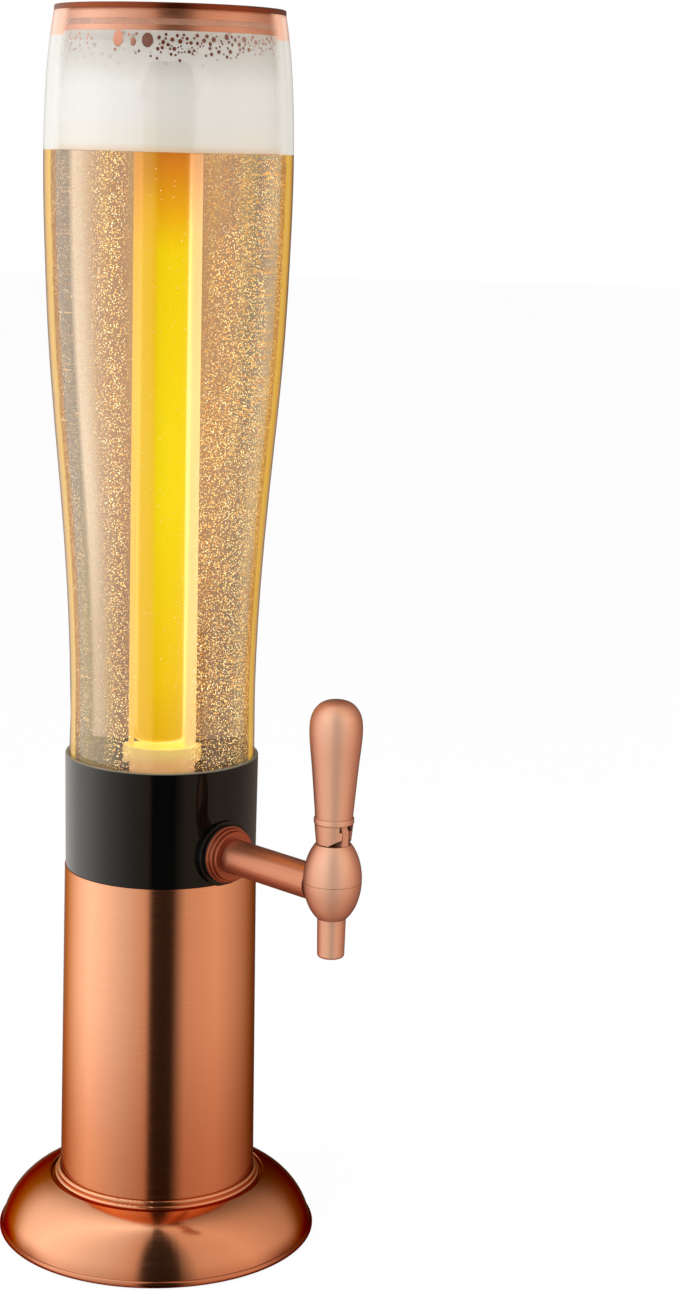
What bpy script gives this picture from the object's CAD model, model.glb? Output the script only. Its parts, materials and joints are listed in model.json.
import json
import math
import random

import bpy
from mathutils import Matrix, Vector


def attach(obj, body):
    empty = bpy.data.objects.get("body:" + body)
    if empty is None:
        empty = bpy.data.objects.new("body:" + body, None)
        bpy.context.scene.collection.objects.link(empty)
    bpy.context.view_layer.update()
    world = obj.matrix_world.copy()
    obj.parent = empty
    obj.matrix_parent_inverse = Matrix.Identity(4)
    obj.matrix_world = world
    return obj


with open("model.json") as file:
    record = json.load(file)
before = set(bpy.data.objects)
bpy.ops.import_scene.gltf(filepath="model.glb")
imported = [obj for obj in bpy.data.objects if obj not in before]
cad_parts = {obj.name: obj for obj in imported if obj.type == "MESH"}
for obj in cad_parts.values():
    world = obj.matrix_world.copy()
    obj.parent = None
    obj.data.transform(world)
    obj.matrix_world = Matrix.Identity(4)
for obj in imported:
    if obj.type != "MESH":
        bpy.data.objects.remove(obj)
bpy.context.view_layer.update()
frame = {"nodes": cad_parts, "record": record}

nodes = frame["nodes"]

# Table-top beer tower.  Metres, tower's axis upright at the origin, tap towards -Y.

ROUND = 160
COLLAR_TOP = 0.2504
BEER_TOP = 0.5434
FOAM_TOP = 0.5955
CAMERA_TURN = -40.0
FINE_RELIEF = 0.00002


# ---------------------------------------------------------------- finishes


def colour(text):
    """Linear colour from a web colour."""
    parts = [int(text[i:i + 2], 16) / 255 for i in (0, 2, 4)]
    return tuple(p / 12.92 if p <= 0.04045 else ((p + 0.055) / 1.055) ** 2.4 for p in parts) + (1.0,)


class Value:
    """A number or colour that varies over a surface."""

    def __init__(self, finish, socket):
        self.finish = finish
        self.socket = socket

    def maths(self, operation, *values):
        """A Math node on the value and others, or on the others alone where the order matters."""
        values = values if self in values else (self, *values)
        return self.finish.add("ShaderNodeMath", {"operation": operation}, dict(enumerate(values)))

    def __add__(self, other):
        return self.maths("ADD", self, other)

    def __radd__(self, other):
        return self.maths("ADD", other, self)

    def __sub__(self, other):
        return self.maths("SUBTRACT", self, other)

    def __rsub__(self, other):
        return self.maths("SUBTRACT", other, self)

    def __mul__(self, other):
        return self.maths("MULTIPLY", self, other)

    def __rmul__(self, other):
        return self.maths("MULTIPLY", other, self)

    def __truediv__(self, other):
        return self.maths("DIVIDE", self, other)

    def __pow__(self, other):
        return self.maths("POWER", self, other)

    def __lt__(self, other):
        return self.maths("LESS_THAN", self, other)

    def clamped(self):
        return self.finish.add("ShaderNodeClamp", {}, {0: self})

    def spread(self, low, high, to_low=0.0, to_high=1.0):
        """The value carried smoothly from one range to another, and held at its ends."""
        settings = {"interpolation_type": "SMOOTHSTEP"}
        inputs = {0: self, 1: low, 2: high, 3: to_low, 4: to_high}
        return self.finish.add("ShaderNodeMapRange", settings, inputs)

    def wear(self, low, high):
        """A roughness between two ends that follows a noise."""
        return self.spread(0.3, 0.7, low, high)


class Finish:
    """A material in the making."""

    def __init__(self, name, world=None):
        self.owner = world or bpy.data.materials.new(name)
        self.owner.use_nodes = True
        self.tree = self.owner.node_tree
        self.tree.nodes.clear()
        self.output = self.tree.nodes.new("ShaderNodeOutputWorld" if world else "ShaderNodeOutputMaterial")

    def add(self, kind, settings, inputs, output=0):
        """A node of a kind: its settings are made first, then its sockets are set or linked."""
        node = self.tree.nodes.new(kind)
        for name, setting in settings.items():
            if name == "stops":
                ramp = node.color_ramp
                while len(ramp.elements) < len(setting):
                    ramp.elements.new(0.5)
                for element, (place, shade) in zip(ramp.elements, setting):
                    element.position = place
                    element.color = shade
            else:
                setattr(node, name, setting)
        for name, value in inputs.items():
            socket = node.inputs[name]
            if isinstance(value, Value):
                self.tree.links.new(value.socket, socket)
            else:
                socket.default_value = value
        return Value(self, node.outputs[output])

    def place(self, stretch=(1.0, 1.0, 1.0), centre=(0.0, 0.0, 0.0)):
        """Object coordinates, moved to a centre and stretched."""
        where = self.add("ShaderNodeTexCoord", {}, {}, "Object")
        offset = tuple(-c * k for c, k in zip(centre, stretch))
        return self.add("ShaderNodeMapping", {}, {"Vector": where, "Location": offset, "Scale": stretch})

    def axes(self):
        """The distances across, along and up from the origin."""
        split = self.add("ShaderNodeSeparateXYZ", {}, {0: self.place()}).socket.node
        return [Value(self, socket) for socket in split.outputs]

    def facing(self):
        """Nought where the surface faces the eye, and one where it is seen edge-on."""
        return self.add("ShaderNodeLayerWeight", {}, {"Blend": 0.5}, "Facing")

    def noise(self, where, scale, detail=3.0, roughness=0.5):
        inputs = {"Vector": where, "Scale": scale, "Detail": detail, "Roughness": roughness}
        return self.add("ShaderNodeTexNoise", {}, inputs)

    def cells(self, where, scale):
        """The distance to the nearest of many scattered points."""
        return self.add("ShaderNodeTexVoronoi", {}, {"Vector": where, "Scale": scale}, "Distance")

    def blend(self, share, first, second, mode="MIX"):
        settings = {"data_type": "RGBA", "blend_type": mode}
        return self.add("ShaderNodeMix", settings, {0: share, 6: first, 7: second}, 2)

    def clouded(self, scale, dark, light):
        """A tint that drifts between two colours."""
        return self.blend(self.noise(self.place(), scale, 2.0), colour(dark), colour(light))

    def ramp(self, value, *stops):
        return self.add("ShaderNodeValToRGB", {"stops": stops}, {0: value})

    def bump(self, height, distance, strength):
        return self.add("ShaderNodeBump", {}, {"Height": height, "Distance": distance, "Strength": strength})

    def principled(self, **inputs):
        named = {name.replace("_", " "): value for name, value in inputs.items()}
        return self.add("ShaderNodeBsdfPrincipled", {}, named)

    def glowing(self, shade, roughness, strength):
        """A surface that also gives off its own colour."""
        return self.principled(
            Base_Color=shade,
            Roughness=roughness,
            Emission_Color=shade,
            Emission_Strength=strength,
        )

    def see_through(self):
        return self.add("ShaderNodeBsdfTransparent", {}, {})

    def mixed(self, share, first, second):
        return self.add("ShaderNodeMixShader", {}, {0: share, 1: first, 2: second})

    def done(self, surface, volume=None):
        self.tree.links.new(surface.socket, self.output.inputs["Surface"])
        if volume:
            self.tree.links.new(volume.socket, self.output.inputs["Volume"])
        return self.owner


def side_of(across, along):
    """The angle about the tower's axis as nought to one, with a half towards the camera's side."""
    front = math.radians(CAMERA_TURN - 90.0)
    sideways = along * math.cos(front) - across * math.sin(front)
    towards = across * math.cos(front) + along * math.sin(front)
    return sideways.maths("ARCTAN2", sideways, towards) / (2 * math.pi) + 0.5


def rightwards(across, along):
    """The distance from the tower's axis to the right, as seen from the camera's side."""
    turn_angle = math.radians(CAMERA_TURN)
    return across * math.cos(turn_angle) + along * math.sin(turn_angle)


def spun_copper():
    """Satin copper plate on spun steel: fine turning lines round the axis, soft clouding."""
    coat = Finish("spun_copper")
    lines = coat.noise(coat.place((3.0, 3.0, 900.0)), 1.0, 4.0, 0.6)
    clouds = coat.noise(coat.place(), 9.0, 2.0)
    tint = coat.blend(clouds, colour("eda981"), colour("f1b18b"))
    metal = coat.principled(
        Base_Color=coat.blend(lines * 0.25, tint, colour("e0986e")),
        Metallic=1.0,
        Roughness=lines.wear(0.11, 0.17) + clouds * 0.04,
        Normal=coat.bump(lines, FINE_RELIEF, 0.35),
        Specular_Tint=(0.60, 0.30, 0.18, 1.0),
    )
    return coat.done(metal)


def dome_copper():
    """The foot's satin copper: its turning lines follow the dome, and it deepens at the rim and edges."""
    coat = Finish("dome_copper")
    lines = coat.noise(coat.place((3.0, 3.0, 700.0)), 1.0, 4.0, 0.6)
    clouds = coat.noise(coat.place(), 11.0, 2.0)
    facing = coat.facing()
    low = coat.axes()[2].spread(0.001, 0.012, 1.0, 0.0)
    tint = coat.blend(clouds, colour("eba67d"), colour("f0b08a"))
    tint = coat.blend(lines * 0.2, tint, colour("dd956a"))
    tint = coat.blend(low * 0.45, tint, colour("a04420"))
    tint = coat.blend(low * facing.spread(0.20, 0.42) * 0.9, tint, colour("74280f"))
    metal = coat.principled(
        Base_Color=coat.blend(facing.spread(0.42, 0.62) * 0.75, tint, colour("94451f")),
        Metallic=1.0,
        Roughness=lines.wear(0.10, 0.15) + clouds * 0.03,
        Normal=coat.bump(lines, FINE_RELIEF, 0.3),
        Specular_Tint=(0.45, 0.18, 0.09, 1.0),
    )
    return coat.done(metal)


def rounded_off(coat, tint):
    """A tint that deepens where the surface turns away."""
    depth = coat.ramp(
        coat.facing(),
        (0.02, (1.0, 1.0, 1.0, 1.0)),
        (0.16, (0.86, 0.75, 0.69, 1.0)),
        (0.40, (0.63, 0.44, 0.38, 1.0)),
        (0.70, (0.44, 0.26, 0.21, 1.0)),
        (0.90, (0.18, 0.08, 0.06, 1.0)),
    )
    return coat.blend(1.0, tint, depth, "MULTIPLY")


def satin_copper():
    """Satin copper plate on cast brass: fine blasted grain, faint turning lines round the tap's axis."""
    coat = Finish("satin_copper")
    grain = coat.noise(coat.place(), 2600.0, 2.0)
    lines = coat.noise(coat.place((40.0, 40.0, 1500.0), (0.0, -0.1245, 0.0)), 1.0, 3.0)
    tint = coat.blend(lines * 0.3, coat.clouded(40.0, "f3c0a2", "f6caae"), colour("e6ab8b"))
    metal = coat.principled(
        Base_Color=rounded_off(coat, tint),
        Metallic=0.64,
        Roughness=grain.wear(0.38, 0.46),
        Normal=coat.bump(grain * 0.6 + lines * 0.4, FINE_RELIEF, 0.4),
    )
    return coat.done(metal)


def polished_copper(name, dark, light, line):
    """Copper polished along the tap's arm."""
    coat = Finish(name)
    lines = coat.noise(coat.place((900.0, 6.0, 900.0)), 1.0, 3.0)
    tint = coat.blend(lines * 0.25, coat.clouded(50.0, dark, light), colour(line))
    metal = coat.principled(
        Base_Color=rounded_off(coat, tint),
        Metallic=0.78,
        Roughness=lines.wear(0.28, 0.36),
        Normal=coat.bump(lines, FINE_RELIEF, 0.3),
    )
    return coat.done(metal)


def lid_copper():
    """The lid's deeper copper, brushed along its rim, with a brighter top inside the rim."""
    coat = Finish("lid_copper")
    lines = coat.noise(coat.place((6.0, 6.0, 1200.0)), 1.0, 3.0)
    across, along, _ = coat.axes()
    radius = (across * across + along * along) ** 0.5
    top = radius.spread(0.0534, 0.0541, 1.0, 0.0)
    metal = coat.principled(
        Base_Color=coat.blend(top, coat.clouded(14.0, "8c462c", "944d31"), colour("d08d6a")),
        Metallic=1.0,
        Roughness=lines.wear(0.26, 0.34),
        Normal=coat.bump(lines, FINE_RELIEF, 0.3),
    )
    return coat.done(metal)


def lined_metal(name, stretch, tint, wear, relief, metallic):
    """Metal with fine lines: the tint is the size of its clouds and two colours."""
    coat = Finish(name)
    lines = coat.noise(coat.place(stretch), 1.0, 3.0)
    metal = coat.principled(
        Base_Color=coat.clouded(*tint),
        Metallic=metallic,
        Roughness=lines.wear(*wear),
        Normal=coat.bump(lines, FINE_RELIEF, relief),
    )
    return coat.done(metal)


def plug_copper():
    """The lid's plug: copper left paler and softer, as spun."""
    tint = (20.0, "e29c78", "eaa683")
    return lined_metal("plug_copper", (8.0, 8.0, 900.0), tint, (0.26, 0.34), 0.3, 0.9)


def bright_steel():
    tint = (60.0, "a9abad", "c2c4c4")
    return lined_metal("zinc_steel", (30.0, 30.0, 700.0), tint, (0.22, 0.34), 0.4, 1.0)


def black_gloss():
    """Glossy black moulding, with a thin worn line round its top edge."""
    coat = Finish("collar_gloss")
    clouds = coat.noise(coat.place(), 18.0, 3.0)
    ripple = coat.noise(coat.place((1.0, 1.0, 0.4)), 60.0, 2.0)
    across, along, height = coat.axes()
    tint = coat.blend(clouds, colour("040404"), colour("070707"))
    edge = height.spread(COLLAR_TOP - 0.0006, COLLAR_TOP - 0.0002, 0.0, 0.7)
    gloss = coat.principled(
        Base_Color=coat.blend(edge, tint, colour("7f7c70")),
        Roughness=clouds.wear(0.04, 0.07),
        Normal=coat.bump(ripple, 0.00006, 0.15),
        Specular_IOR_Level=0.22,
        Specular_Tint=(1.0, 0.92, 0.74, 1.0),
        Coat_Weight=rightwards(across, along).spread(-0.042, -0.008, 0.80, 0.05),
        Coat_Roughness=0.05,
        Coat_Tint=(1.0, 0.96, 0.86, 1.0),
    )
    return coat.done(gloss)


def plain_plastic(name, dark, light, roughness):
    coat = Finish(name)
    grain = coat.noise(coat.place(), 900.0, 3.0)
    plastic = coat.principled(
        Base_Color=coat.clouded(25.0, dark, light),
        Roughness=grain.wear(roughness - 0.05, roughness + 0.05),
        Normal=coat.bump(grain, 0.00003, 0.4),
    )
    return coat.done(plastic)


def rough_iron():
    coat = Finish("cast_iron")
    grain = coat.noise(coat.place(), 500.0, 5.0, 0.7)
    iron = coat.principled(
        Base_Color=coat.blend(grain, colour("1f1f20"), colour("3a3938")),
        Metallic=0.6,
        Roughness=grain.wear(0.55, 0.75),
        Normal=coat.bump(grain, 0.0003, 0.6),
    )
    return coat.done(iron)


def clear_wall():
    """Clear moulded plastic: seen edge-on, it takes up the colour of what it holds."""
    coat = Finish("vessel_clear")
    height = coat.axes()[2]
    facing = coat.facing()
    streaks = coat.noise(coat.place((55.0, 55.0, 0.0)), 1.0, 2.0).spread(0.45, 0.7)
    beer_edge = coat.ramp(
        facing,
        (0.60, colour("d8b74e")),
        (0.68, colour("cc9f22")),
        (0.80, colour("bd8a14")),
        (0.86, colour("80581a")),
        (0.95, colour("523a14")),
    )
    dry_edge = coat.ramp(facing, (0.80, colour("c8c7c0")), (0.90, colour("bfbdb3")), (0.95, colour("8f8d83")))
    lid_edge = coat.ramp(facing, (0.62, colour("dfa98d")), (0.80, colour("e0b49c")), (0.90, colour("b98770")))
    full = height.spread(BEER_TOP - 0.0004, BEER_TOP + 0.0004, 1.0, 0.0)
    lidded = height.spread(FOAM_TOP - 0.0006, FOAM_TOP + 0.0006)
    tinted = coat.blend(lidded, coat.blend(full, dry_edge, beer_edge), lid_edge)
    wet = facing.spread(0.63, 0.69) * 0.92
    dry = facing.spread(0.46, 0.62) * 0.85
    inner_face = coat.add("ShaderNodeNewGeometry", {}, {}, "Backfacing")
    edge_on = (wet * full + dry * (1.0 - full)) * (1.0 - inner_face)
    amount = (edge_on + streaks * full * 0.12).clamped()
    inside = coat.mixed(amount, coat.see_through(), coat.glowing(tinted, 0.3, 0.3))
    ripple = coat.noise(coat.place((1.0, 1.0, 0.15)), 30.0, 2.0)
    shine = coat.principled(Base_Color=colour("fbfbf8"), Roughness=ripple.wear(0.03, 0.07), Metallic=1.0)
    gloss = (coat.add("ShaderNodeFresnel", {}, {"IOR": 1.45}) * 0.9).maths("MINIMUM", 0.08)
    wall = coat.mixed(gloss, inside, shine)
    patches = coat.noise(coat.place((1.0, 1.0, 0.3)), 45.0, 1.0).spread(0.40, 0.60)
    seated = coat.glowing(coat.blend(patches, colour("7d756f"), colour("a5846a")), 0.4, 0.15)
    in_collar = height.spread(COLLAR_TOP - 0.0024, COLLAR_TOP + 0.0004, 0.8, 0.0)
    return coat.done(coat.mixed(in_collar, wall, seated))


def ice_wall():
    """Clear tube lit through the beer: pale gold below the beer's top, milky above it."""
    coat = Finish("ice_tube_clear")
    across, along, height = coat.axes()
    facing = coat.facing()
    sideways = rightwards(across, along)
    rise = ((height - 0.25) / 0.3).clamped()
    pale = coat.ramp(
        rise,
        (0.0, colour("efd890")),
        (0.18, colour("fbeaa4")),
        (0.6, colour("fffbbc")),
        (0.86, colour("fcecb0")),
        (0.93, colour("f4cc9c")),
        (0.976, colour("e4b48c")),
        (0.98, colour("76622f")),
    )
    golden = coat.ramp(
        rise,
        (0.0, colour("edc64a")),
        (0.18, colour("f5d056")),
        (0.6, colour("f9d544")),
        (0.83, colour("f2c519")),
        (0.95, colour("dd9a30")),
    )
    shade = coat.blend(sideways.spread(-0.006, 0.002, 0.85, 0.0) * (height < BEER_TOP), pale, golden)
    thick = facing.spread(0.24, 0.34) * sideways.spread(-0.002, 0.002) + facing.spread(0.42, 0.54)
    cloudy = (thick * 0.95 + height.spread(BEER_TOP, BEER_TOP + 0.001)).clamped()
    return coat.done(coat.mixed(cloudy, coat.see_through(), coat.glowing(shade, 0.3, 0.85)))


def cold_core():
    """Melt water in the tube, glowing gold with the light that the beer lets through."""
    coat = Finish("cold_core")
    across, along, height = coat.axes()
    speckle = coat.cells(coat.place((1.0, 1.0, 0.8)), 420.0)
    shade = coat.ramp(
        ((height - 0.255) / (BEER_TOP - 0.255)).clamped(),
        (0.02, colour("e9bf1c")),
        (0.12, colour("f8d61a")),
        (0.45, colour("fff21a")),
        (0.84, colour("fdea12")),
        (0.90, colour("f3c01a")),
        (0.96, colour("e29a24")),
        (1.0, colour("d5822c")),
    )
    left = rightwards(across, along).spread(-0.0052, -0.0030, 0.7, 0.0)
    left_shade = coat.blend(height.spread(0.515, 0.540), colour("f8cc22"), colour("d59c12"))
    shade = coat.blend(left, shade, left_shade)
    water = coat.principled(
        Base_Color=colour("807020"),
        Roughness=0.5,
        Emission_Color=coat.blend(speckle.spread(0.0, 0.16, 0.2, 0.0), shade, colour("c09a2c")),
        Emission_Strength=0.95,
    )
    return coat.done(water)


# How thickly gas bubbles crowd the beer's wall, once round from the back, with a half in front.
CROWDS = (
    (0.00, 0.75),
    (0.03, 0.20),
    (0.14, 0.15),
    (0.22, 0.50),
    (0.30, 0.60),
    (0.335, 0.50),
    (0.352, 0.12),
    (0.385, 0.20),
    (0.41, 0.85),
    (0.43, 1.00),
    (0.455, 0.0),
    (0.545, 0.0),
    (0.56, 1.00),
    (0.69, 1.00),
    (0.76, 0.50),
    (0.88, 0.80),
    (1.00, 0.75),
)


def beer():
    """Golden beer: bends light as water does, deepens with its thickness, and carries fine gas bubbles."""
    coat = Finish("beer")
    across, along, height = coat.axes()
    body = coat.principled(Base_Color=colour("ffffff"), Roughness=0.0, IOR=1.33, Transmission_Weight=1.0)
    drift = coat.noise(coat.place((1.0, 1.0, 0.12)), 34.0, 2.0)
    swarm = coat.noise(coat.place((1.0, 1.0, 0.5)), 60.0, 2.0)
    fine = coat.cells(coat.place(), 1000.0)
    large = coat.cells(coat.place(), 600.0)
    crowds = [(place, (share, share, share, 1.0)) for place, share in CROWDS]
    crowded = coat.ramp(side_of(across, along), *crowds)
    amount = (drift * 0.6 + swarm * 0.4).spread(0.36, 0.50, 0.3, 1.0) * crowded
    dots = (fine.spread(0.26, 0.36, 1.0, 0.0) + large.spread(0.15, 0.23, 1.0, 0.0)) * amount
    tone = coat.noise(coat.place(), 700.0, 1.0)
    gold = coat.ramp(tone, (0.35, colour("e8a850")), (0.5, colour("ffd274")), (0.62, colour("ffedb0")))
    shown = (dots * height.spread(0.235, 0.26, 0.5, 1.0)).clamped()
    surface = coat.mixed(shown, body, coat.glowing(gold, 0.3, 0.75))
    depth = coat.add("ShaderNodeVolumeAbsorption", {}, {"Color": (0.80, 0.486, 0.0, 1.0), "Density": 10.0})
    return coat.done(surface, depth)


def unbent(name):
    """Where the beer or the foam meets the ice tube: light goes straight on."""
    coat = Finish(name)
    return coat.done(coat.see_through())


def bubble_gold():
    coat = Finish("beer_bubble")
    tone = coat.noise(coat.place(), 900.0, 1.0).spread(0.38, 0.60)
    shade = coat.ramp(tone, (0.0, colour("eab070")), (0.5, colour("ffd890")), (1.0, colour("fff2cc")))
    return coat.done(coat.glowing(shade, 0.2, 0.8))


def foam():
    """Fine white foam, coarser at the top, with open bubbles against the wall."""
    coat = Finish("foam")
    height = coat.axes()[2]
    where = coat.place()
    top = height.spread(0.574, 0.596)
    coarse = coat.cells(where, 190.0)
    fine = coat.cells(where, 620.0)
    holes = (coarse.spread(0.16, 0.24, 1.0, 0.0) * top).clamped()
    shade = coat.blend(height.spread(BEER_TOP, BEER_TOP + 0.0041), colour("ecd3b6"), colour("f0ebe0"))
    shade = coat.blend(height.spread(0.547, 0.560), shade, colour("efede8"))
    shade = coat.blend(height.spread(0.570, 0.590), shade, colour("d3cfc6"))
    cloudy = coat.principled(
        Base_Color=coat.blend(holes * 0.55, shade, colour("a48775")),
        Roughness=0.55,
        Normal=coat.bump(fine * 0.4 + coarse * top, 0.0004, 0.3),
    )
    return coat.done(coat.mixed(0.74 - top * 0.08, coat.see_through(), cloudy))


def foam_bubble():
    """An open bubble in the foam: the lid's copper shows through it."""
    coat = Finish("foam_bubble")
    across, along, height = coat.axes()
    sideways = rightwards(across, along)
    shade = coat.blend(sideways.spread(-0.022, -0.012, 1.0, 0.0), colour("6a3525"), colour("cf8563"))
    shade = coat.blend(sideways.spread(0.026, 0.042), shade, colour("a97862"))
    shade = coat.blend(height.spread(0.588, 0.594, 0.5, 0.0), shade, colour("5c2c1e"))
    return coat.done(coat.principled(Base_Color=shade, Roughness=0.2))


def bubble_rim():
    coat = Finish("bubble_rim")
    tone = coat.noise(coat.place(), 90.0, 1.0).spread(0.4, 0.6)
    shade = coat.blend(tone, colour("3a170e"), colour("6f3a29"))
    return coat.done(coat.principled(Base_Color=shade, Roughness=0.2))


def ice_fitting():
    """Frosted plastic: the foot glows pale gold in the beer, and the cap stands dull in the foam."""
    coat = Finish("frosted_plastic")
    height = coat.axes()[2]
    grain = coat.noise(coat.place(), 1200.0, 2.0)
    shade = coat.ramp(
        ((height - 0.22) / 0.38).clamped(),
        (0.05, colour("dcac84")),
        (0.075, colour("ebc890")),
        (0.09, colour("f6e494")),
        (0.14, colour("f9ec98")),
        (0.60, colour("f9ec98")),
        (0.80, colour("9c8f70")),
    )
    plastic = coat.principled(
        Base_Color=shade,
        Roughness=grain.wear(0.35, 0.5),
        Normal=coat.bump(grain, FINE_RELIEF, 0.4),
        Emission_Color=coat.blend(height.spread(0.3, 0.5, 0.75, 0.05), colour("000000"), shade),
        Emission_Strength=0.8,
    )
    return coat.done(plastic)


def silicone(name, dark, light, clearest, cloudiest):
    """A clear rubber ring, which takes the colour of what it touches."""
    coat = Finish(name)
    soft = coat.principled(Base_Color=coat.clouded(30.0, dark, light), Roughness=0.35)
    cloudy = coat.noise(coat.place(), 300.0).spread(0.0, 1.0, clearest, cloudiest)
    return coat.done(coat.mixed(cloudy, coat.see_through(), soft))


FINISHES = {
    "copper_spun": spun_copper(),
    "copper_tap": satin_copper(),
    "copper_lid": lid_copper(),
    "black_gloss": black_gloss(),
    "black_matte": plain_plastic("black_moulding", "0d0d0e", "17171a", 0.5),
    "vessel_clear": clear_wall(),
    "ice_tube_clear": ice_wall(),
    "ice_cap_frosted": ice_fitting(),
    "seal_rubber": plain_plastic("black_silicone", "101011", "1b1b1c", 0.6),
    "seal_clear": silicone("clear_silicone", "c9a48c", "d8bba6", 0.2, 0.4),
    "pad_foam": plain_plastic("pad_foam", "0c0c0c", "181818", 0.85),
    "steel": bright_steel(),
    "cast_iron": rough_iron(),
}


def finish_node(name, material):
    node = nodes[name]
    node.data.materials.clear()
    node.data.materials.append(material)


for part in frame["record"]["subparts"]:
    finish_node(part["node"], FINISHES[part["material_slot"]])
finish_node("foot_dome", dome_copper())
finish_node("lid_plug", plug_copper())
finish_node("tap_shank", polished_copper("arm_copper", "e6a685", "ecb090", "cd8c68"))
finish_node("tap_flange", polished_copper("flange_copper", "b4664a", "bd7052", "9c5238"))
finish_node("lid_seal", silicone("lid_silicone", "e9ae8e", "efb999", 0.3, 0.4))


# ---------------------------------------------------------------- modelling


def deselect():
    for item in bpy.context.selected_objects:
        item.select_set(False)


def turned(name, rings, axis=(0.0, 0.0), around=ROUND, ends="filled"):
    """A piece turned through (radius, height) rings; its ends are filled, joined or open."""
    deselect()
    radius, height = rings[0]
    bpy.ops.mesh.primitive_circle_add(vertices=around, radius=radius, location=(*axis, height))
    piece = bpy.context.object
    piece.name = name
    bpy.ops.object.mode_set(mode="EDIT")
    bpy.ops.mesh.select_all(action="SELECT")
    for next_radius, next_height in rings[1:] + (rings[:1] if ends == "joined" else []):
        rise = {"value": (0.0, 0.0, next_height - height)}
        bpy.ops.mesh.extrude_region_move(TRANSFORM_OT_translate=rise)
        factor = next_radius / radius
        bpy.ops.transform.resize(value=(factor, factor, 1.0), center_override=(*axis, next_height))
        radius, height = next_radius, next_height
    bpy.ops.mesh.select_all(action="SELECT")
    if ends == "joined":
        bpy.ops.mesh.remove_doubles(threshold=1e-7)
    if ends == "filled":
        bpy.ops.mesh.fill_holes(sides=0)
    bpy.ops.mesh.normals_make_consistent(inside=False)
    bpy.ops.object.mode_set(mode="OBJECT")
    bpy.ops.object.transform_apply(location=True, rotation=True, scale=True)
    return piece


def modified(piece, kind, **settings):
    modifier = piece.modifiers.new(kind.title(), kind)
    for key, value in settings.items():
        setattr(modifier, key, value)
    deselect()
    bpy.context.view_layer.objects.active = piece
    piece.select_set(True)
    bpy.ops.object.modifier_apply(modifier=modifier.name)
    return piece


def finished(piece, materials, body, angle=40.0):
    """Shades a piece, gives it its materials and sets it on its body."""
    for material in materials:
        piece.data.materials.append(material)
    deselect()
    bpy.context.view_layer.objects.active = piece
    piece.select_set(True)
    bpy.ops.object.shade_smooth_by_angle(angle=math.radians(angle))
    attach(piece, body)
    return piece


VESSEL_WALL = 0.0025
TUBE_ROOM = 0.0152
# The vessel's outside as (radius, height) rings.
FLARE = [
    (0.0459, 0.224), (0.0459, 0.252), (0.0457, 0.276), (0.0460, 0.300), (0.0470, 0.325),
    (0.0486, 0.352), (0.0508, 0.380), (0.0537, 0.413), (0.0563, 0.445), (0.0579, 0.473),
    (0.0589, 0.502), (0.0595, 0.530), (0.0593, 0.553), (0.0583, 0.576), (0.0567, 0.592),
    (0.0547, 0.6073),
]


def wall_radius(height):
    """The vessel's outer radius at a height, read along the flare's rings."""
    for (low_radius, low), (high_radius, high) in zip(FLARE, FLARE[1:]):
        if height <= high:
            return low_radius + (high_radius - low_radius) * (height - low) / (high - low)
    return FLARE[-1][0]


def inside_wall(bottom, top, steps, gap):
    """Rings just inside the vessel's wall between two heights."""
    heights = [bottom + (top - bottom) * step / steps for step in range(steps + 1)]
    return [(wall_radius(height) - VESSEL_WALL - gap, height) for height in heights]


def by_tube(piece, bottom=0.0, top=1.0):
    """Gives the faces round the ice tube, between two heights, the piece's second material."""
    for face in piece.data.polygons:
        across, along, height = face.center
        if math.hypot(across, along) < TUBE_ROOM and bottom < height < top:
            face.material_index = 1


def make_beer():
    """Beer from the collar's chamber up to its top, with room round the ice tube and its foot."""
    chamber = [(0.0412, 0.1898), (0.0412, 0.2215)]
    tube = [(0.0126, BEER_TOP), (0.0126, 0.2648)]
    tube_foot = [(0.0148, 0.2645), (0.0148, 0.2485), (0.0148, 0.2090), (0.0149, 0.1898)]
    rings = chamber + inside_wall(0.2245, BEER_TOP, 60, 0.00015) + tube + tube_foot
    piece = turned("beer_fill", rings, ends="joined")
    by_tube(piece)
    finished(piece, [beer(), unbent("beer_inside")], "tower")


def make_core():
    """The column of melt water in the ice tube, rounded at its foot."""
    rings = [(0.0040, 0.2584), (0.0068, 0.2587), (0.0086, 0.2594), (0.0094, 0.2606), (0.0094, 0.2640)]
    rings += [(0.0091, 0.2680 + 0.0275 * step) for step in range(11)]
    rings += [(0.0080, 0.5448)]
    finished(turned("melt_water", rings, axis=(-0.0012, 0.0010)), [cold_core()], "ice_core")


def make_foam():
    """Foam from the beer up to the lid's plug, hollow round the ice tube's cap."""
    outer = inside_wall(BEER_TOP + 0.0002, FOAM_TOP + 0.0014, 22, 0.0002)
    crown = [(0.0531, 0.5976), (0.0526, 0.5977), (0.0521, 0.5970), (0.0519, 0.5960), (0.0514, FOAM_TOP)]
    crown += [(0.0005 + 0.005 * step, FOAM_TOP) for step in range(10, -1, -1)]
    cavity = [(0.0003, 0.5945), (0.0093, 0.5945), (0.0114, 0.5915), (0.0128, 0.5858), (0.0151, 0.5812)]
    cavity += [(0.0151, 0.5655), (0.0151, BEER_TOP + 0.0002)]
    piece = turned("foam_head", cavity + outer + crown)
    by_tube(piece, BEER_TOP + 0.0004, 0.5948)
    finished(piece, [foam(), unbent("foam_inside")], "tower")


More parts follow.
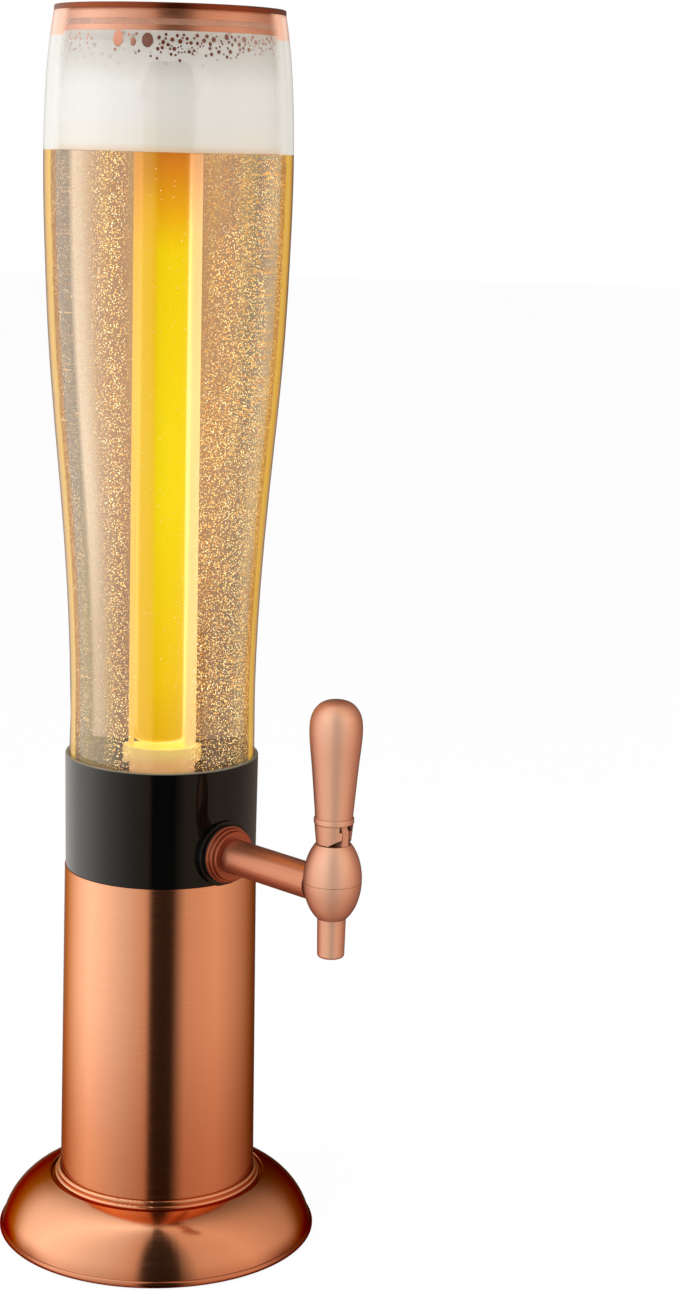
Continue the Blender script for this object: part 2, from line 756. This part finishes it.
def bubble_scatter(name, density, seed, size):
    """A node group that sets small spheres over a surface, from half the size up to the size."""
    group = bpy.data.node_groups.new(name, "GeometryNodeTree")
    group.interface.new_socket("Geometry", in_out="INPUT", socket_type="NodeSocketGeometry")
    group.interface.new_socket("Geometry", in_out="OUTPUT", socket_type="NodeSocketGeometry")

    def add(kind, inputs, **settings):
        node = group.nodes.new(kind)
        for key, value in settings.items():
            setattr(node, key, value)
        for key, value in inputs.items():
            if isinstance(value, bpy.types.NodeSocket):
                group.links.new(value, node.inputs[key])
            else:
                node.inputs[key].default_value = value
        return node

    surface = add("NodeGroupInput", {}).outputs[0]
    points = add("GeometryNodeDistributePointsOnFaces", {"Mesh": surface, "Density": density, "Seed": seed})
    bubble = add("GeometryNodeMeshIcoSphere", {"Radius": size, "Subdivisions": 1})
    dice = add("FunctionNodeRandomValue", {2: 0.0, 3: 1.0, "Seed": seed + 1}, data_type="FLOAT")
    scale = add("ShaderNodeMath", {0: dice.outputs[1], 1: 0.5, 2: 0.5}, operation="MULTIPLY_ADD")
    placed = add(
        "GeometryNodeInstanceOnPoints",
        {
            "Points": points.outputs["Points"],
            "Instance": bubble.outputs["Mesh"],
            "Rotation": points.outputs["Rotation"],
            "Scale": scale.outputs[0],
        },
    )
    real = add("GeometryNodeRealizeInstances", {0: placed.outputs[0]})
    add("NodeGroupOutput", {0: real.outputs[0]})
    return group


def make_beer_bubbles():
    """Two sleeves of gas bubbles, one near the vessel's wall and one further in."""
    gold = bubble_gold()
    for name, gap, density, size, seed in (
        ("bubbles_outer", 0.0050, 12000.0, 0.00028, 3),
        ("bubbles_middle", 0.0120, 14000.0, 0.00030, 8),
    ):
        sleeve = turned(name, inside_wall(0.2300, BEER_TOP - 0.001, 40, gap), ends="open")
        modified(sleeve, "NODES", node_group=bubble_scatter(name, density, seed, size))
        sleeve.data.materials.clear()
        finished(sleeve, [gold], "tower", 80.0)


def wall_bubble(side, height, width, tall, large=False):
    """A bubble flattened against the wall, at an angle to the right of the camera's side."""
    angle = math.radians(side + CAMERA_TURN)
    lean = math.atan2(wall_radius(height + 0.002) - wall_radius(height - 0.002), 0.004)
    radius = wall_radius(height) - VESSEL_WALL - 0.00012
    segments, rings = (32, 10) if large else (14, 4)
    bpy.ops.mesh.primitive_uv_sphere_add(
        segments=segments,
        ring_count=rings,
        radius=1.0,
        location=(math.sin(angle) * radius, -math.cos(angle) * radius, height),
        rotation=(math.radians(90.0) + lean, 0.0, angle),
    )
    bubble = bpy.context.object
    for face in bubble.data.polygons:
        face.material_index = int(abs(face.center.z) < 0.55 or not large and width < 0.0013)
    bubble.scale = (width / 2, tall / 2, 0.00011)
    bpy.ops.object.transform_apply(location=True, rotation=True, scale=True)
    return bubble


# Angle to the right of the camera's side, height, width, tallness and the room kept clear.
LARGE_BUBBLES = (
    (-26.0, 0.5938, 0.0050, 0.0076, 0.0070),
    (-11.0, 0.5932, 0.0052, 0.0066, 0.0066),
    (-18.0, 0.5923, 0.0026, 0.0038, 0.0034),
)
BUBBLES_TRIED = 900
BUBBLES_TRIED_IN_FRONT = 420
BUBBLES_APART = 0.0002
FOAM_RADIUS = 0.052


def make_foam_bubbles():
    """Open bubbles under the lid: a few large, a crowd in front, some all the way round."""
    dice = random.Random(12)
    bubbles = [wall_bubble(side, height, width, tall, True) for side, height, width, tall, _ in LARGE_BUBBLES]
    taken = [(side, height, room) for side, height, _, _, room in LARGE_BUBBLES]
    for number in range(BUBBLES_TRIED):
        near = number < BUBBLES_TRIED_IN_FRONT
        side = dice.gauss(12.0, 13.0) if near else dice.uniform(30.0, 320.0)
        depth = abs(dice.gauss(0.0, 1.0))
        size = dice.uniform(0.0009, 0.0034 if near else 0.0018) / (1.0 + 0.45 * depth)
        height = 0.5962 - 0.0042 * depth
        gaps = []
        for other_side, other_height, room in taken:
            apart = math.hypot(math.radians(side - other_side) * FOAM_RADIUS, height - other_height)
            gaps.append(apart - 0.55 * (size + room))
        if min(gaps) > BUBBLES_APART:
            taken.append((side, height, size))
            bubbles.append(wall_bubble(side, height, size, size * dice.uniform(0.95, 1.2)))
    deselect()
    for bubble in bubbles:
        bubble.select_set(True)
    bpy.context.view_layer.objects.active = bubbles[0]
    bpy.ops.object.join()
    piece = bpy.context.object
    piece.name = "foam_bubbles"
    finished(piece, [foam_bubble(), bubble_rim()], "tower")


make_beer()
make_core()
make_foam()
make_beer_bubbles()
make_foam_bubbles()


# ---------------------------------------------------------------- studio and camera

CAMERA_DISTANCE = 1.24946
CAMERA_HEIGHT = 0.55335
CAMERA_YAW, CAMERA_PITCH, CAMERA_ROLL = 3.993, 11.229, 1.442
CAMERA_LENS = 71.73


def turn(degrees, axis):
    return Matrix.Rotation(math.radians(degrees), 4, axis)


def around_tower(side, distance, height):
    """A place at an angle to the right of the camera's side, as seen from the tower."""
    angle = math.radians(side + CAMERA_TURN)
    return Vector((math.sin(angle) * distance, -math.cos(angle) * distance, height))


def make_camera():
    data = bpy.data.cameras.new("camera")
    data.lens = CAMERA_LENS
    data.sensor_width = 36.0
    data.clip_start = 0.01
    data.clip_end = 100.0
    camera = bpy.data.objects.new("camera", data)
    bpy.context.scene.collection.objects.link(camera)
    heading = turn(CAMERA_TURN - CAMERA_YAW, "Z") @ turn(90.0 - CAMERA_PITCH, "X") @ turn(CAMERA_ROLL, "Z")
    camera.matrix_world = Matrix.Translation(around_tower(0.0, CAMERA_DISTANCE, CAMERA_HEIGHT)) @ heading
    bpy.context.scene.camera = camera


def seen_ray(coat):
    """One for rays from the camera, off metal or through glass, and nought for the rest."""
    rays = ("Is Camera Ray", "Is Glossy Ray", "Is Transmission Ray")
    camera, glossy, bent = (coat.add("ShaderNodeLightPath", {}, {}, ray) for ray in rays)
    return camera.maths("MAXIMUM", camera, glossy.maths("MAXIMUM", glossy, bent))


def make_world():
    world = bpy.data.worlds.new("studio")
    bpy.context.scene.world = world
    coat = Finish("studio", world)
    room = coat.add("ShaderNodeBackground", {}, {"Color": (1.0, 1.0, 1.0, 1.0), "Strength": 0.5})
    backdrop = coat.add("ShaderNodeBackground", {}, {"Color": (1.0, 1.0, 1.0, 1.0), "Strength": 1.0})
    coat.done(coat.mixed(seen_ray(coat), room, backdrop))


def make_floor():
    deselect()
    bpy.ops.mesh.primitive_circle_add(vertices=96, radius=9.0, fill_type="NGON", location=(0.0, 0.0, 0.0))
    floor = bpy.context.object
    floor.name = "studio_floor"
    bpy.ops.object.transform_apply(location=True, rotation=True, scale=True)
    coat = Finish("studio_floor")
    pale = coat.principled(Base_Color=(1.0, 1.0, 1.0, 1.0), Roughness=0.9)
    white = coat.add("ShaderNodeEmission", {}, {"Color": (1.0, 1.0, 1.0, 1.0), "Strength": 1.0})
    floor.data.materials.append(coat.done(coat.mixed(seen_ray(coat) * 0.95, pale, white)))
    floor.visible_glossy = False
    floor.visible_transmission = False


SCREEN_LIGHT = 1.45
SCREEN_RADIUS = 1.1
WHITE_CARD = (1.0, 1.0, 1.0)
WARM_CARD = (1.0, 0.75, 0.6)
# Cards for metal to mirror: angle to the right of the camera's side, brightness, card.
CARDS_AROUND = (
    (-180, 0.2, WARM_CARD),
    (-130, 0.7, WHITE_CARD),
    (-90, 1.0, WHITE_CARD),
    (-40, 0.6, WHITE_CARD),
    (-15, 0.5, WARM_CARD),
    (-10, 0.02, WARM_CARD),
    (15, 0.02, WARM_CARD),
    (30, 0.5, WARM_CARD),
    (70, 0.6, WARM_CARD),
    (110, 0.4, WARM_CARD),
    (165, 0.1, WARM_CARD),
    (180, 0.2, WARM_CARD),
)
# Cards for beer to bend: place in each third of the way round, brightness, card.
CARDS_BEHIND = (
    (0.0, 0.4, WARM_CARD),
    (0.05, 0.2, WHITE_CARD),
    (0.24, 0.2, WHITE_CARD),
    (0.27, 1.1, WHITE_CARD),
    (0.30, 1.0, WHITE_CARD),
    (0.35, 0.6, WARM_CARD),
    (0.60, 0.6, WARM_CARD),
    (0.70, 0.3, WHITE_CARD),
    (0.80, 0.6, WHITE_CARD),
    (1.0, 0.4, WARM_CARD),
)


def make_screen():
    """A round screen about the set, in light and dark cards, for metal to mirror and glass to bend."""
    deselect()
    bpy.ops.mesh.primitive_cylinder_add(vertices=96, radius=SCREEN_RADIUS, depth=4.4, end_fill_type="NGON")
    screen = bpy.context.object
    screen.name = "studio_screen"
    coat = Finish("studio_screen")
    across, along, up = coat.axes()
    side = side_of(across, along)

    def cards(value, stops):
        shades = [(place, (*[level * part for part in card], 1.0)) for place, level, card in stops]
        return coat.ramp(value, *shades)

    around = cards(side, [((degrees + 180) / 360, level, card) for degrees, level, card in CARDS_AROUND])
    by_floor = coat.blend(1.0, around, (0.65, 0.45, 0.35, 1.0), "MULTIPLY")
    mirrored = coat.blend(up.spread(-0.40, -0.20), by_floor, around)
    behind = cards((side * 3.0 + 1.5).maths("FRACT"), CARDS_BEHIND)
    by_foot = coat.blend(1.0, behind, (0.6, 0.55, 0.55, 1.0), "MULTIPLY")
    behind = coat.blend(up.spread(0.10, 0.36), by_foot, behind)
    glossy = coat.add("ShaderNodeEmission", {}, {"Color": mirrored, "Strength": SCREEN_LIGHT})
    bent = coat.add("ShaderNodeEmission", {}, {"Color": behind, "Strength": 1.0})
    through = coat.add("ShaderNodeLightPath", {}, {}, "Is Transmission Ray")
    screen.data.materials.append(coat.done(coat.mixed(through, glossy, bent)))
    screen.visible_camera = False
    screen.visible_diffuse = False
    screen.visible_shadow = False


def make_lamp(name, side, distance, height, size, power):
    """A soft box that lights the tower's middle from an angle to the right of the camera's side."""
    data = bpy.data.lights.new(name, "AREA")
    data.shape = "RECTANGLE"
    data.size, data.size_y = size
    data.energy = power
    lamp = bpy.data.objects.new(name, data)
    bpy.context.scene.collection.objects.link(lamp)
    place = around_tower(side, distance, height)
    aim = (Vector((0.0, 0.0, 0.3)) - place).to_track_quat("-Z", "Y")
    lamp.matrix_world = Matrix.Translation(place) @ aim.to_matrix().to_4x4()
    lamp.visible_glossy = False


make_camera()
make_world()
make_floor()
make_screen()
make_lamp("key_lamp", -50.0, 1.6, 1.2, (0.9, 1.4), 18.5)
make_lamp("fill_lamp", 60.0, 1.7, 1.0, (0.9, 1.4), 14.0)
make_lamp("top_lamp", 0.0, 0.3, 1.9, (1.2, 1.2), 11.0)

bpy.context.scene.view_settings.view_transform = "Standard"
